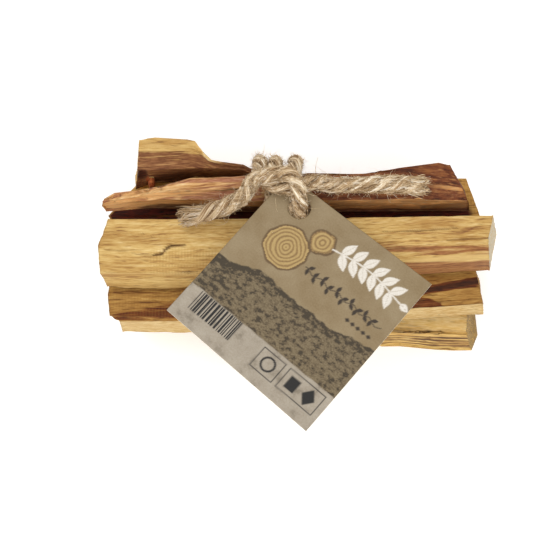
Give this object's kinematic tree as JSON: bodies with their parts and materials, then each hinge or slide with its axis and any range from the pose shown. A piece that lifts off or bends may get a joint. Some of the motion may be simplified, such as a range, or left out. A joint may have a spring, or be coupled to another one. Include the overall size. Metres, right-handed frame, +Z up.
{
  "type": "palo santo stick bundle",
  "caption": "Bundle of split palo santo sticks wound and knotted with jute twine, with a square card hung on the twine.",
  "frame": {"origin": "under the middle of the bundle, on the surface that it lies on", "axes": "+X along the sticks, +Y from the front where the card reaches out to the back, +Z up"},
  "size_m": [0.1032, 0.0806, 0.0459],
  "materials": {
    "pale_wood": "raw split wood, golden cream with brown grain lines",
    "streaked_wood": "raw split wood with reddish-brown heartwood streaks",
    "bark_wood": "raw split wood with flaky reddish-brown bark",
    "jute": "three-ply jute twine, hairy",
    "card": "printed uncoated card, matt"
  },
  "bodies": {
    "root": {"stick_broad": "pale_wood", "stick_streaked": "streaked_wood", "stick_front_low": "pale_wood", "stick_bark": "bark_wood", "stick_ledge": "streaked_wood", "stick_yellow": "pale_wood", "stick_core": "pale_wood", "stick_base": "streaked_wood", "stick_base_rear": "bark_wood", "twine": "jute", "card": "card"}
  },
  "joints": []
}
